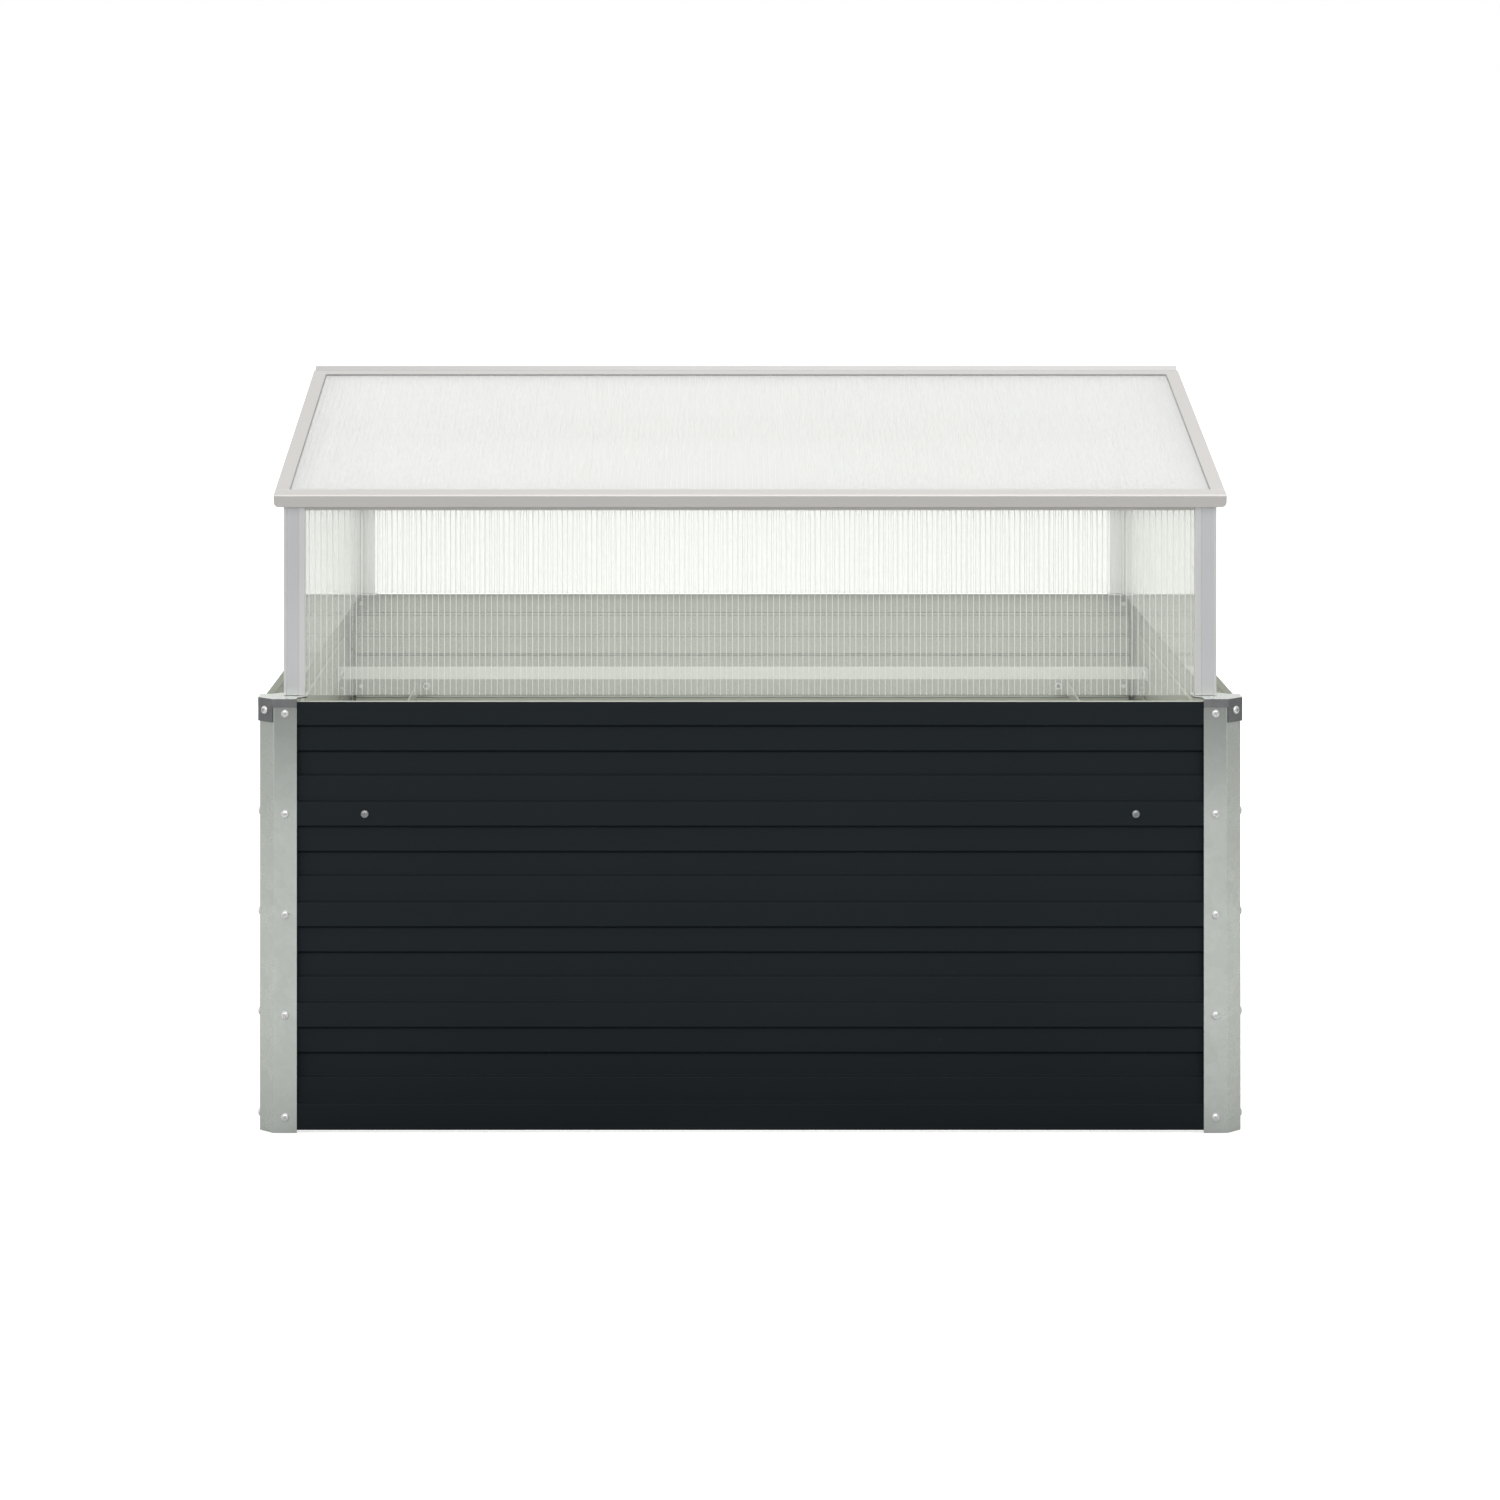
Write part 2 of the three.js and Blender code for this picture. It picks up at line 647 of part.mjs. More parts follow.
function buildGlazedTop() {
  const post = framePostGeometry();
  const eavePane = eavePaneGeometry();
  const gablePane = gablePaneGeometry();
  const eaveRail = eaveRailGeometry();
  const gableRail = gableRailGeometry();
  const topBar = lidTopBarGeometry();
  const eaveBar = lidEaveBarGeometry();
  const sideBar = lidSideBarGeometry();
  const lidPane = lidPaneGeometry();
  const stay = stayGeometry();
  const stayBracket = stayBracketGeometry();

  addTo(coldFrame, 'ridge_beam', ridgeGeometry(), finishes.aluminium);

  sides.forEach(({ name, group, lengthwise }, index) => {
    addTo(group, `${cornerNames[index]}_frame_post`, post, finishes.aluminium);
    if (lengthwise) {
      addTo(group, `${name}_gable_pane`, gablePane, finishes.pane);
      return;
    }
    addTo(group, `${name}_wall_pane`, eavePane, finishes.pane);
    addTo(group, `${name}_eave_rail`, eaveRail, finishes.aluminium);

    const slope = new THREE.Group();
    slope.position.set(0, -HINGE_Y, HINGE_Z);
    slope.rotation.x = ROOF_PITCH;
    group.add(slope);

    // The rear half is the front half turned round, so its left and right change places.
    const turned = name === 'rear';
    for (const [label, onRight] of [['left', turned], ['right', !turned]]) {
      const rail = onRight ? gableRail : mirroredX(gableRail);
      const bar = onRight ? sideBar : mirroredX(sideBar);
      addTo(slope, `${name}_${label}_gable_rail`, rail, finishes.aluminium);
      addTo(slope, `${name}_lid_${label}_bar`, bar, finishes.aluminium);
    }
    addTo(slope, `${name}_lid_top_bar`, topBar, finishes.aluminium);
    addTo(slope, `${name}_lid_eave_bar`, eaveBar, finishes.aluminium);
    addTo(slope, `${name}_lid_pane`, lidPane, finishes.pane);
    addTo(slope, `${name}_stay_bracket`, stayBracket, finishes.zinc);
    addTo(slope, `${name}_stay`, stay, finishes.zinc);
  });
}

// The same shape for the other hand, with its faces still pointing out.
function mirroredX(geometry) {
  const flipped = geometry.clone().scale(-1, 1, 1);
  const position = flipped.attributes.position;
  for (let i = 0; i < position.count; i += 3) {
    const second = new THREE.Vector3().fromBufferAttribute(position, i + 1);
    const third = new THREE.Vector3().fromBufferAttribute(position, i + 2);
    position.setXYZ(i + 1, third.x, third.y, third.z);
    position.setXYZ(i + 2, second.x, second.y, second.z);
  }
  flipped.computeVertexNormals();
  return flipped;
}

buildBed();
buildGlazedTop();

export default coldFrame;
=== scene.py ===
"""Cold frame on a ribbed steel bed: materials, fine meshes, light and camera around the CAD frame.

Units are metres, +Z is up, and the front of the bed faces -Y, as in the CAD frame.
"""

import json
import math

import bmesh
import bpy
from mathutils import Matrix, Vector


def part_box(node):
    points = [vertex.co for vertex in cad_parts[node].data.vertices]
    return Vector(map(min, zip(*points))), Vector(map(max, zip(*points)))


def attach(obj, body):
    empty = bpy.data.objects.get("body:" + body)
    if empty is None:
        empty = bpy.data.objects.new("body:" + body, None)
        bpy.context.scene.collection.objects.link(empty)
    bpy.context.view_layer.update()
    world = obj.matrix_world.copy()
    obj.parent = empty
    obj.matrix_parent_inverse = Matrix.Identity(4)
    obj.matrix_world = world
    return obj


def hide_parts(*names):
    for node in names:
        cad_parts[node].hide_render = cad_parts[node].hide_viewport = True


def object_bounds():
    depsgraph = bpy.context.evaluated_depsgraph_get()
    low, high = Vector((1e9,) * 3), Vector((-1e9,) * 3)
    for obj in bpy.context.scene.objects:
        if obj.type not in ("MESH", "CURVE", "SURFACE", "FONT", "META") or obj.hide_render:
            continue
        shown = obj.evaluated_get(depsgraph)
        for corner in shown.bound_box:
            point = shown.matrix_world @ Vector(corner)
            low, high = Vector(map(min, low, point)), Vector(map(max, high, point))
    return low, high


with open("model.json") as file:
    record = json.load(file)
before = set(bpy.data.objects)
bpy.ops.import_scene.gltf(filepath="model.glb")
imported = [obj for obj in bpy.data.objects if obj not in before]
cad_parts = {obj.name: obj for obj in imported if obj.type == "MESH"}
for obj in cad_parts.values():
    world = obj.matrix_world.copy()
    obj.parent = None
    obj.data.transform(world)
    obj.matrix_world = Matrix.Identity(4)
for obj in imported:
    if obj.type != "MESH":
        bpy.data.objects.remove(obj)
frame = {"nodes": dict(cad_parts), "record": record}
cad_low, cad_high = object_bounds()

MM = 0.001
scene = bpy.context.scene
nodes = frame["nodes"]
node_bodies = {n: body for body, names in frame["record"]["behaviour"]["bodies"].items() for n in names}

CORNERS = ("front_left", "front_right", "rear_right", "rear_left")
OUTWARD = {"front": (0, -1, 0), "right": (1, 0, 0), "rear": (0, 1, 0), "left": (-1, 0, 0)}
LIDS = ("front", "rear")


# ---------------------------------------------------------------- node helpers


class NodeKit:
    """Short calls for the shader nodes that this file needs, in one node tree."""

    def __init__(self, tree):
        self.tree = tree
        self.tree.nodes.clear()

    def node(self, kind, **settings):
        made = self.tree.nodes.new(kind)
        for key, value in settings.items():
            setattr(made, key, value)
        return made

    def feed(self, socket, value):
        if isinstance(value, bpy.types.NodeSocket):
            self.tree.links.new(value, socket)
        elif value is not None:
            socket.default_value = value

    def shader(self, kind, **inputs):
        made = self.node(kind)
        for key, value in inputs.items():
            self.feed(made.inputs[key.replace("_", " ")], value)
        return made.outputs[0]

    def math(self, operation, first, second=None):
        made = self.node("ShaderNodeMath", operation=operation)
        self.feed(made.inputs[0], first)
        self.feed(made.inputs[1], second)
        return made.outputs[0]

    def vector_math(self, operation, first, second=None):
        made = self.node("ShaderNodeVectorMath", operation=operation)
        self.feed(made.inputs[0], first)
        self.feed(made.inputs[1], second)
        return made

    def mixed(self, factor, first, second):
        made = self.node("ShaderNodeMixShader")
        self.feed(made.inputs[0], factor)
        self.feed(made.inputs[1], first)
        self.feed(made.inputs[2], second)
        return made.outputs[0]


class Recipe(NodeKit):
    """A node material under construction. Its patterns lie in the piece's own coordinates, in metres."""

    def __init__(self, name):
        self.material = bpy.data.materials.new(name)
        self.material.use_nodes = True
        super().__init__(self.material.node_tree)
        self.output = self.node("ShaderNodeOutputMaterial")
        self.place = self.node("ShaderNodeTexCoord").outputs["Object"]

    def coordinate(self, axis):
        apart = self.node("ShaderNodeSeparateXYZ")
        self.feed(apart.inputs[0], self.place)
        return apart.outputs[axis]

    def stretched(self, scale):
        mapping = self.node("ShaderNodeMapping")
        self.feed(mapping.inputs["Vector"], self.place)
        self.feed(mapping.inputs["Scale"], scale)
        return mapping.outputs["Vector"]

    def noise(self, scale, detail=3.0, vector=None, roughness=0.5):
        made = self.node("ShaderNodeTexNoise")
        self.feed(made.inputs["Vector"], vector or self.place)
        self.feed(made.inputs["Scale"], scale)
        self.feed(made.inputs["Detail"], detail)
        self.feed(made.inputs["Roughness"], roughness)
        return made.outputs["Fac"]

    def cells(self, scale):
        made = self.node("ShaderNodeTexVoronoi")
        self.feed(made.inputs["Vector"], self.place)
        self.feed(made.inputs["Scale"], scale)
        return self.span(made.outputs["Color"], low=0.0, high=1.0)

    def span(self, value, low, high, start=0.0, end=1.0):
        """Runs from low to high while value runs from start to end, and stays level beyond them."""
        made = self.node("ShaderNodeMapRange")
        self.feed(made.inputs["Value"], value)
        self.feed(made.inputs["From Min"], start)
        self.feed(made.inputs["From Max"], end)
        self.feed(made.inputs["To Min"], low)
        self.feed(made.inputs["To Max"], high)
        return made.outputs["Result"]

    def weighted(self, first, share, second):
        """The sum of share of the first value and what that leaves of the second."""
        rest = self.math("MULTIPLY", second, 1 - share)
        return self.math("ADD", self.math("MULTIPLY", first, share), rest)

    def blend(self, factor, first, second):
        made = self.node("ShaderNodeMix", data_type="RGBA")
        self.feed(made.inputs["Factor"], factor)
        self.feed(made.inputs["A"], first)
        self.feed(made.inputs["B"], second)
        return made.outputs["Result"]

    def bump(self, height, distance):
        made = self.node("ShaderNodeBump")
        self.feed(made.inputs["Height"], height)
        self.feed(made.inputs["Distance"], distance)
        return made.outputs["Normal"]

    def principled(self, color, roughness, metallic=0.0, normal=None, specular=0.5, tint=None):
        return self.shader(
            "ShaderNodeBsdfPrincipled",
            Base_Color=color,
            Roughness=roughness,
            Metallic=metallic,
            Normal=normal,
            Specular_IOR_Level=specular,
            Specular_Tint=tint,
        )

    def done(self, surface):
        self.feed(self.output.inputs["Surface"], surface)
        return self.material


def grey(value, warmth=0.0):
    """A linear grey, a little warmer (positive) or cooler (negative)."""
    return (value * (1 + warmth), value, value * (1 - warmth), 1.0)


# ---------------------------------------------------------------- steel, zinc and aluminium


def painted_steel():
    """Anthracite coil paint: fine orange peel, faint cloudiness, and painted shade that weakens its gloss
    towards the ground.
    """
    deep = (0.0052, 0.0076, 0.0090, 1)
    pale = (0.0074, 0.0102, 0.0119, 1)
    bluish = (0.86, 1.0, 1.08, 1)
    r = Recipe("painted_steel")
    color = r.blend(r.noise(scale=6.0, detail=4.0), deep, pale)
    dust = r.noise(scale=35.0, detail=5.0)
    # Painted shade: the paint's gloss weakens towards the ground.
    ground_shaded_gloss = r.span(r.coordinate("Z"), low=0.15, high=0.22, start=0.0, end=0.12)
    peel = r.bump(r.noise(scale=900.0, detail=2.0), distance=0.02 * MM)
    roughness = r.span(dust, low=0.42, high=0.58)
    return r.done(r.principled(color, roughness, normal=peel, specular=ground_shaded_gloss, tint=bluish))


def primer(name, deep, pale):
    """Grey-green backing coat on the inside of the wall panels, with wide soft stains."""
    r = Recipe(name)
    stain = r.noise(scale=9.0, detail=6.0)
    grain = r.bump(r.noise(scale=700.0), distance=0.02 * MM)
    roughness = r.span(stain, low=0.55, high=0.75)
    return r.done(r.principled(r.blend(stain, deep, pale), roughness, normal=grain, specular=0.2))


LARGE_SPANGLE_SHARE = 0.6  # the rest of the spangle is the small cells
SPANGLE_SHARE = 0.45  # the rest of the mottling is the bloom


def galvanised(name, deep, pale, glossy, dull, metallic=0.85, shade=None):
    """Hot-dip zinc: overlapping spangle cells of two sizes under a soft grey bloom.

    The roughness runs from dull, where the zinc is deep, to glossy, where it is pale. shade is
    (lower, upper, share) for a painted shade: between those two heights the tone falls to that share."""
    r = Recipe(name)
    spangle = r.weighted(r.cells(scale=85.0), LARGE_SPANGLE_SHARE, r.cells(scale=210.0))
    mottled = r.weighted(spangle, SPANGLE_SHARE, r.noise(scale=14.0, detail=5.0))
    color = r.blend(mottled, deep, pale)
    if shade is not None:
        lower, upper, share = shade
        fall = r.span(r.coordinate("Z"), low=0.0, high=1.0 - share, start=lower, end=upper)
        color = r.blend(fall, color, grey(0.0))
    roughness = r.span(mottled, low=dull, high=glossy)
    return r.done(r.principled(color, roughness, metallic, r.bump(spangle, distance=0.015 * MM)))


def zinc_plated():
    """Bright zinc plate on screws, nuts and stays, with fine machining marks."""
    r = Recipe("zinc_plated")
    marks = r.noise(scale=1500.0, detail=2.0)
    color = r.blend(r.noise(scale=60.0), grey(0.78, warmth=-0.01), grey(0.90, warmth=0.01))
    roughness = r.span(marks, low=0.22, high=0.38)
    return r.done(r.principled(color, roughness, metallic=0.7, normal=r.bump(marks, distance=0.01 * MM)))


ALONG, ACROSS = 3.0, 900.0  # pattern scales along an extrusion and across it
LINES_ALONG = {
    "X": (ALONG, ACROSS, ACROSS),
    "Y": (ACROSS, ALONG, ACROSS),
    "Z": (ACROSS, ACROSS, ALONG),
}


def aluminium(name, axis, dark, light, warmth=0.0, metallic=0.9, smooth=0.30, rough=0.42):
    """Mill-finish extrusion: fine die lines along the bar's axis, and a faint cloudiness."""
    r = Recipe(name)
    lines = r.noise(scale=1.0, detail=4.0, vector=r.stretched(LINES_ALONG[axis]), roughness=0.7)
    color = r.blend(lines, grey(dark, warmth), grey(light, warmth))
    cloud = r.span(r.noise(scale=11.0), low=-0.03, high=0.05)
    roughness = r.math("ADD", r.span(lines, low=smooth, high=rough), cloud)
    return r.done(r.principled(color, roughness, metallic, r.bump(lines, distance=0.015 * MM)))


def shade_strip_finish():
    """Dull grey finish of the strip of painted shade, with a dusty bloom."""
    r = Recipe("shade_strip_finish")
    dust = r.noise(scale=120.0, detail=4.0)
    color = r.blend(dust, grey(0.28), grey(0.38))
    return r.done(r.principled(color, roughness=0.8, normal=r.bump(dust, distance=0.01 * MM)))


PAINTED = painted_steel()
PRIMER = primer("primer", (0.44, 0.46, 0.405, 1), (0.50, 0.52, 0.465, 1))
# Painted shade: a darker copy of the primer for the rim tops of the side walls, which get less light.
SHADED_RIM_PRIMER = primer("primer_rim_shaded", (0.23, 0.245, 0.205, 1), (0.28, 0.295, 0.25, 1))
GALVANISED = galvanised(
    "galvanised", (0.60, 0.64, 0.59, 1), (0.76, 0.80, 0.745, 1), glossy=0.22, dull=0.34
)
# Painted shade: the flange colour darkens upwards towards the bracket, to 60 per cent of itself from 0.32
# to 0.44 m up.
SHADED_FLANGE = galvanised(
    "galvanised_flange_shaded", (0.60, 0.64, 0.60, 1), (0.76, 0.80, 0.76, 1), glossy=0.24, dull=0.36,
    shade=(0.32, 0.44, 0.60),
)
BAR = galvanised(
    "galvanised_bar", (0.74, 0.76, 0.72, 1), (0.84, 0.86, 0.82, 1), glossy=0.45, dull=0.60, metallic=0.25
)
# Painted shade: a darker copy of the bar finish, for the tie bars of the side walls, which get less light,
# and the inner sides of the corner posts.
SHADED_BAR = galvanised(
    "galvanised_bar_shaded", (0.44, 0.46, 0.41, 1), (0.52, 0.54, 0.49, 1), glossy=0.50, dull=0.62, metallic=0.25
)
BRACKET = galvanised("bracket_zinc", grey(0.17, -0.025), grey(0.30, -0.01), glossy=0.38, dull=0.52)
BOLT = galvanised("bolt_zinc", grey(0.32, -0.025), grey(0.46, -0.01), glossy=0.34, dull=0.46)
ZINC = zinc_plated()
BAR_METAL = {
    axis: aluminium("aluminium_" + axis.lower(), axis, 0.62, 0.70, warmth=0.03, smooth=0.40, rough=0.52)
    for axis in "XY"
}
RIDGE_METAL = aluminium("aluminium_ridge", "X", 0.54, 0.62, warmth=0.02, smooth=0.42, rough=0.54)
POST_METAL = aluminium("aluminium_post", "Z", 0.85, 0.92)
# Painted shade: the floor of each post's shallow flute is darker and cooler than the faces beside it.
FLUTE_METAL = aluminium("aluminium_flute", "Z", 0.78, 0.85, warmth=-0.015)
POST_INSIDE = aluminium("aluminium_post_inside", "Z", 0.86, 0.94, metallic=0.3)
# Dull grey for the strip of painted shade on the lid panes.
SHADE_STRIP = shade_strip_finish()


# ---------------------------------------------------------------- twin-wall sheet

FLUTE_PITCH = 6.0 * MM
SKIN_THICKNESS = 0.4 * MM
RIB_THICKNESS = 0.5 * MM
SKIN_INDEX = 1.36  # refractive index that sets how much the thin skin mirrors
SHEET_FACES = 4  # faces that a ray crosses on its way through one pane


def seen_ray(kit):
    """1 for what the camera sees straight, through a pane, or mirrored in the pane behind it; else 0."""
    path = kit.node("ShaderNodeLightPath")
    inside = kit.math("GREATER_THAN", path.outputs["Transparent Depth"], SHEET_FACES - 0.5)
    mirrored = kit.math("MULTIPLY", inside, path.outputs["Is Glossy Ray"])
    return kit.math("MAXIMUM", path.outputs["Is Camera Ray"], mirrored)


def light_passes(r):
    """1 for shadow and diffuse rays, which cross the sheet as if it were clear."""
    path = r.node("ShaderNodeLightPath")
    return r.math("MAXIMUM", path.outputs["Is Shadow Ray"], path.outputs["Is Diffuse Ray"])


def slant(r, straight, skimming, power):
    """A share that grows from straight, seen square on, to skimming, seen along the surface.

    The higher the power, the later it grows."""
    facing = r.node("ShaderNodeLayerWeight").outputs["Facing"]
    return r.span(r.math("POWER", facing, power), low=straight, high=skimming)


def mirror(r, index):
    """The share of light that a thin skin, with its two faces, throws back, the same from both sides."""
    behind = r.node("ShaderNodeNewGeometry").outputs["Backfacing"]
    face = r.shader("ShaderNodeFresnel", IOR=r.span(behind, low=index, high=1 / index))
    return r.math("DIVIDE", r.math("MULTIPLY", face, 2.0), r.math("ADD", face, 1.0))


def milky(r, white, share_back=0.5):
    """Plastic that scatters light to both of its sides."""
    through = r.shader("ShaderNodeBsdfTranslucent", Color=white)
    back = r.shader("ShaderNodeBsdfDiffuse", Color=white)
    return r.mixed(share_back, through, back)


def rippled_normal(r, axis, height=0.03):
    """The normal of a skin that dips a little over each cell, along the axis that crosses the flutes."""
    turns = r.math("MULTIPLY", r.coordinate(axis), math.tau / FLUTE_PITCH)
    push = r.node("ShaderNodeCombineXYZ")
    r.feed(push.inputs[axis], r.math("MULTIPLY", r.math("SINE", turns), height))
    flat = r.node("ShaderNodeNewGeometry").outputs["Normal"]
    bent = r.vector_math("ADD", flat, push.outputs[0])
    return r.vector_math("NORMALIZE", bent.outputs[0]).outputs[0]


def sheet_skin(name, axis, straight, skimming, power):
    """Outer skin of twin-wall sheet.

    axis is the one that crosses the flutes. straight, skimming and power tell how milky the skin is."""
    r = Recipe(name)
    clear = r.shader("ShaderNodeBsdfTransparent", Color=(0.989, 0.991, 0.984, 1))
    body = r.mixed(slant(r, straight, skimming, power), clear, milky(r, (0.97, 0.975, 0.96, 1)))
    normal = rippled_normal(r, axis)
    gloss = r.shader("ShaderNodeBsdfGlossy", Color=(1, 1, 1, 1), Roughness=0.06, Normal=normal)
    seen = r.mixed(mirror(r, SKIN_INDEX), body, gloss)
    return r.done(r.mixed(light_passes(r), seen, clear))


def sheet_inside():
    """The faces of the open cells, where one skin of the sheet ends: clear, with a trace of haze."""
    r = Recipe("sheet_inside")
    clear = r.shader("ShaderNodeBsdfTransparent", Color=(0.998, 0.998, 0.996, 1))
    haze = milky(r, (0.90, 0.92, 0.88, 1))
    haze_share = slant(r, straight=0.01, skimming=0.10, power=3.0)
    return r.done(r.mixed(light_passes(r), r.mixed(haze_share, clear, haze), clear))


def sheet_rib():
    """The ribs between the cells, milkier than the skins: pale lines over dark things behind them."""
    r = Recipe("sheet_rib")
    clear = r.shader("ShaderNodeBsdfTransparent", Color=(0.985, 0.988, 0.978, 1))
    milk = milky(r, (0.97, 0.98, 0.96, 1))
    milk_share = 0.62
    return r.done(r.mixed(light_passes(r), r.mixed(milk_share, clear, milk), clear))


WALL_SKIN = sheet_skin("sheet_skin_wall", "X", straight=0.13, skimming=0.95, power=1.5)
GABLE_SKIN = sheet_skin("sheet_skin_gable", "Y", straight=0.13, skimming=0.13, power=3.0)
LID_SKIN = sheet_skin("sheet_skin_lid", "X", straight=0.30, skimming=0.95, power=1.0)
INSIDE = sheet_inside()
RIB = sheet_rib()


# ---------------------------------------------------------------- mesh helpers

WELD = 0.002 * MM  # points closer than this become one
COPLANAR = math.radians(0.5)  # faces that turn by less than this become one
SHARP = math.radians(28)  # edges above this angle are rounded
FOLD = math.radians(70)  # sheet folded by less than this has its own rounding
SHADE_ACROSS = math.radians(50)  # rounded edges below this angle are shaded smooth
SQUARE_ON = 0.9  # how closely a normal follows an axis when a face counts as square to it
SLANTED = 0.1  # how closely it follows one when the face still counts as looking that way
TOUCH = 0.1 * MM  # points that lie this close count as level

SHEET_FOLD = 1.2 * MM  # how much a fold in sheet is rounded, and the next five tell it for edges
PLATE_EDGE = 0.5 * MM
LID_BAR_EDGE = 0.4 * MM
SHEET_EDGE = 0.35 * MM
BAR_EDGE = 0.3 * MM
RAIL_EDGE = 0.2 * MM


def linked(name, mesh, *materials):
    piece = bpy.data.objects.new(name, mesh)
    scene.collection.objects.link(piece)
    for material in materials:
        mesh.materials.append(material)
    return piece


def mesh_from(bm, name):
    mesh = bpy.data.meshes.new(name)
    bm.to_mesh(mesh)
    bm.free()
    return mesh


def settle(piece, body):
    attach(piece, body)


def stand_in(piece, node):
    """Puts a piece in a CAD node's place, on its body, and hides the node."""
    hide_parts(node)
    settle(piece, node_bodies[node])


def smooth_by_angle(bm, limit):
    for face in bm.faces:
        face.smooth = True
    for edge in bm.edges:
        edge.smooth = edge.is_manifold and edge.calc_face_angle(0.0) < limit


def round_off(bm, lowest, highest, offset, segments):
    """Rounds every edge whose angle lies between lowest and highest."""
    edges = [e for e in bm.edges if lowest < e.calc_face_angle(0.0) < highest]
    bmesh.ops.bevel(
        bm, geom=edges, offset=offset, segments=segments, profile=0.5, affect="EDGES", clamp_overlap=True
    )


def formed(node, rounding, *materials, pick=None, bend=None):
    """A finer copy of a CAD node: its flat faces joined up and its edges rounded. It replaces the node.

    pick chooses, from a face's normal and middle, which of the materials the face takes. bend is the
    rounding of the edges where sheet is folded by less than a square angle."""
    bm = bmesh.new()
    bm.from_mesh(nodes[node].data)
    bmesh.ops.remove_doubles(bm, verts=bm.verts, dist=WELD)
    bmesh.ops.dissolve_limit(
        bm, angle_limit=COPLANAR, verts=bm.verts, edges=bm.edges, delimit={"NORMAL"}
    )
    bm.normal_update()
    if pick is not None:
        for face in bm.faces:
            face.material_index = pick(face.normal, face.calc_center_median())
    if bend is not None:
        round_off(bm, SHARP, FOLD, bend, segments=3)
    round_off(bm, SHARP, math.pi, rounding, segments=2)
    smooth_by_angle(bm, SHADE_ACROSS)
    piece = linked(node + "_formed", mesh_from(bm, node + "_formed"), *materials)
    piece.modifiers.new("flat faces stay flat", "WEIGHTED_NORMAL").keep_sharp = True
    stand_in(piece, node)


def lies_inside(normal, middle):
    """True for a face that looks towards the vertical line through the middle of the object."""
    return normal.dot(Vector((middle.x, middle.y, 0))) < 0


# ---------------------------------------------------------------- bed


RIM_DEPTH = 5 * MM  # level faces no further than this below a panel's top belong to its rim


def wall_pick(outward, rim_height):
    """0 for the painted outside of a panel, 1 for its primed back, 2 for the top of its rim."""

    def pick(normal, middle):
        if normal.dot(outward) > SLANTED:
            return 0
        return 2 if normal.z > SQUARE_ON and middle.z > rim_height else 1

    return pick


def plate_pick(normal, middle):
    """0 for the darker skirt of a bracket, 1 for its level plate, which is painted lighter as a highlight.
    """
    return 1 if abs(normal.z) > SQUARE_ON else 0


def flange_pick(normal, middle):
    """0 for the slanted face of a corner post, 1 for its two flanges, 2 for their inner sides."""
    if lies_inside(normal, middle):
        return 2
    return 1 if max(abs(normal.x), abs(normal.y)) > SQUARE_ON else 0


def build_bed():
    rim_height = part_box("front_wall_panel")[1].z - RIM_DEPTH
    for wall, outward in OUTWARD.items():
        # The side walls take darker copies of the rim and tie-bar finishes: painted shade.
        rim, bar = (PRIMER, BAR) if wall in LIDS else (SHADED_RIM_PRIMER, SHADED_BAR)
        pick = wall_pick(Vector(outward), rim_height)
        formed(wall + "_wall_panel", SHEET_EDGE, PAINTED, PRIMER, rim, pick=pick)
        formed(wall + "_tie_bar", BAR_EDGE, bar)
    for corner in CORNERS:
        finishes = (GALVANISED, SHADED_FLANGE, SHADED_BAR)
        formed(corner + "_corner_post", SHEET_EDGE, *finishes, pick=flange_pick, bend=SHEET_FOLD)
        # The bracket's level plate takes the lighter galvanised finish: a painted highlight on the top of
        # the dark sheet.
        formed(corner + "_bracket", PLATE_EDGE, BRACKET, GALVANISED, pick=plate_pick)


# ---------------------------------------------------------------- screws and nuts

HEAD_RADIUS = 4.3 * MM
HEAD_HEIGHT = 2.6 * MM
SHANK_RADIUS = 2.4 * MM
SHANK_LENGTH = 8 * MM
DOME_STEPS = 6
DOME_SQUARENESS = 0.55  # below 1 the dome keeps its width for longer
DOME_SHADE = math.radians(40)  # edges of a screw below this angle are shaded smooth
RECESS = (4.6 * MM, 0.95 * MM, 3.2 * MM)  # length, width and height of each arm of the recess
ROUND_SEGMENTS = 32
SCREW_TURN = 1.13  # each screw stands this much further round than the one before, in radians

NUT_FLATS = 8 * MM
NUT_HEIGHT = 3.5 * MM
NUT_CLEAR = 0.05 * MM
NUT_SEAT = 3.7 * MM  # from under a tie screw's head to the inner side of the tie bar's end
NUT_ROUNDING = 0.25 * MM
NUT_SEGMENTS = 24

CREST_HEIGHT = 23.5 * MM
CREST_PITCH = 102.3 * MM
CREST_COUNT = 5
POST_CUT = 15 * MM  # how much of the square corner the slanted face takes off


def lathed(profile, segments):
    """A solid of revolution about Z from (radius, height) pairs that start and end on the axis."""
    bm = bmesh.new()
    angles = [math.tau * k / segments for k in range(segments)]
    rings = []
    for radius, height in profile:
        if radius == 0:
            rings.append([bm.verts.new((0, 0, height))])
        else:
            ring = [(radius * math.cos(a), radius * math.sin(a), height) for a in angles]
            rings.append([bm.verts.new(point) for point in ring])
    for lower, upper in zip(rings, rings[1:]):
        for k in range(segments):
            n = (k + 1) % segments
            around = ((lower, k), (lower, n), (upper, n), (upper, k))
            corners = [ring[i % len(ring)] for ring, i in around]
            bm.faces.new(list(dict.fromkeys(corners)))
    bmesh.ops.recalc_face_normals(bm, faces=bm.faces)
    return bm


def recess_mesh():
    """Two crossed slots, to be cut from a screw's head."""
    bm = bmesh.new()
    lift = Matrix.Translation((0, 0, HEAD_HEIGHT))
    size = Matrix.Diagonal((*RECESS, 1.0))
    for turn in (0.0, math.pi / 2):
        bmesh.ops.create_cube(bm, size=1.0, matrix=lift @ Matrix.Rotation(turn, 4, "Z") @ size)
    return mesh_from(bm, "recess")


